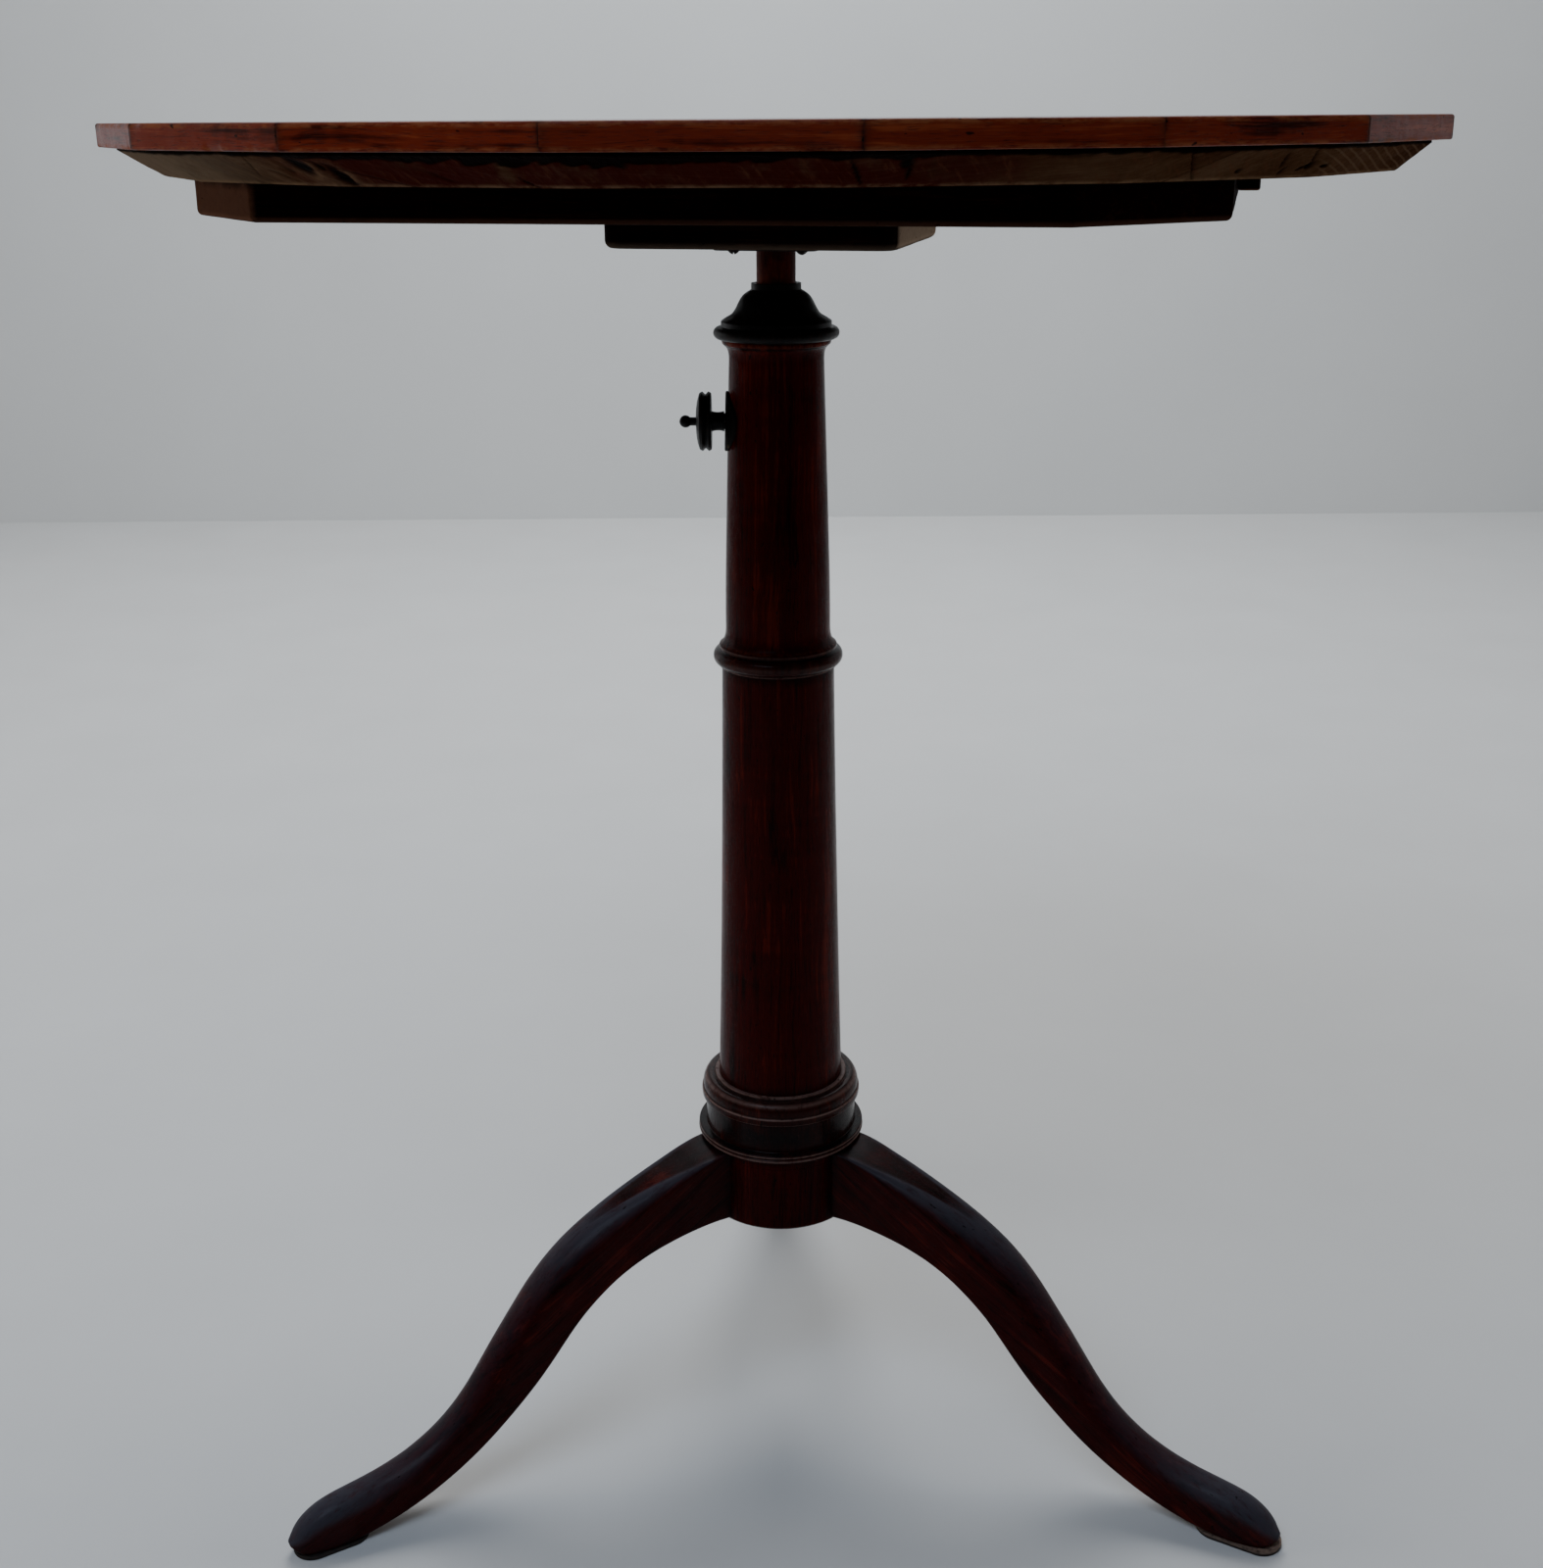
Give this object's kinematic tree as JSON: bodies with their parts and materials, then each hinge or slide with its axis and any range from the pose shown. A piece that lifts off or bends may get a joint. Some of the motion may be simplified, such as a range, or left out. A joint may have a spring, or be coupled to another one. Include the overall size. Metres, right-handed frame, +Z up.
{
  "type": "pedestal table",
  "caption": "Swivel side table with a thin faceted top on a height-adjustable turned column, clamped by a side screw, on a curved tripod foot.",
  "frame": {"origin": "on the column's axis at floor level, in the middle of the three feet", "axes": "+Z up; +Y along the back leg, away from the picture's camera; +X to the camera's right, with the clamp's knob on the -X side"},
  "size_m": [0.6198, 0.6196, 0.72],
  "materials": {
    "edge_wood": "worn French polish",
    "field_wood": "worn French polish",
    "core_wood": "rough sawn, unfinished, darkened",
    "under_wood": "planed, dark stain",
    "shaft_wood": "plain turned, oiled",
    "column_wood": "dark French polish",
    "leg_wood": "dark French polish",
    "black_wood": "ebonised, satin",
    "inner_wood": "unfinished",
    "iron": "dark, lightly rusted",
    "dark_brass": "dark patina",
    "pad_leather": "worn hide"
  },
  "bodies": {
    "column": {"lower_column": "column_wood", "upper_column": "column_wood", "mid_ring": "column_wood", "base_moulding": "column_wood", "hub": "column_wood", "column_cap": "black_wood", "guide_bush": "inner_wood", "leg_left": "leg_wood", "leg_right": "leg_wood", "leg_back": "leg_wood", "foot_pad_left": "pad_leather", "foot_pad_right": "pad_leather", "foot_pad_back": "pad_leather", "escutcheon": "dark_brass", "escutcheon_pins": "iron", "lock_nut": "dark_brass"},
    "shaft": {"shaft": "shaft_wood", "shaft_collar": "inner_wood", "collar_pin": "iron", "pivot_stud": "iron", "pivot_washer": "iron", "pivot_nut": "iron"},
    "top": {"edge_segment_01": "edge_wood", "edge_segment_02": "edge_wood", "edge_segment_03": "edge_wood", "edge_segment_04": "edge_wood", "edge_segment_05": "edge_wood", "edge_segment_06": "edge_wood", "edge_segment_07": "edge_wood", "edge_segment_08": "edge_wood", "edge_segment_09": "edge_wood", "edge_segment_10": "edge_wood", "edge_segment_11": "edge_wood", "edge_segment_12": "edge_wood", "edge_segment_13": "edge_wood", "edge_segment_14": "edge_wood", "edge_segment_15": "edge_wood", "edge_segment_16": "edge_wood", "edge_segment_17": "edge_wood", "edge_segment_18": "edge_wood", "field_board_1": "field_wood", "field_board_2": "field_wood", "field_board_3": "field_wood", "core_plank_1": "core_wood", "core_plank_2": "core_wood", "core_plank_3": "core_wood", "core_plank_4": "core_wood", "core_plank_5": "core_wood", "core_plank_6": "core_wood", "under_plate": "under_wood", "side_cleat": "under_wood", "bearer_block": "under_wood", "pivot_plate": "iron", "plate_screws": "iron", "block_screws": "iron", "pivot_screws": "iron"},
    "clamp": {"clamp_pad": "dark_brass"},
    "lock": {"lock_screw": "iron", "lock_knob": "black_wood"}
  },
  "joints": [
    {"name": "height_slide", "type": "slide", "parent": "column", "child": "shaft", "axis": [0, 0, 1], "range_m": [-0.016, 0.22]},
    {"name": "top_turn", "type": "hinge", "parent": "shaft", "child": "top", "pos_m": [0, 0, 0.66], "axis": [0, 0, 1], "continuous": true},
    {"name": "clamp_slide", "type": "slide", "parent": "column", "child": "clamp", "axis": [-1, 0, 0], "range_m": [0, 0.00125]},
    {"name": "lock_turn", "type": "hinge", "parent": "clamp", "child": "lock", "pos_m": [-0.033, 0, 0.5755], "axis": [-1, 0, 0], "range_deg": [0, 360]}
  ],
  "couplings": [
    {"joint": "clamp_slide", "follows": "lock_turn", "m_per_rad": 0.00019894}
  ]
}
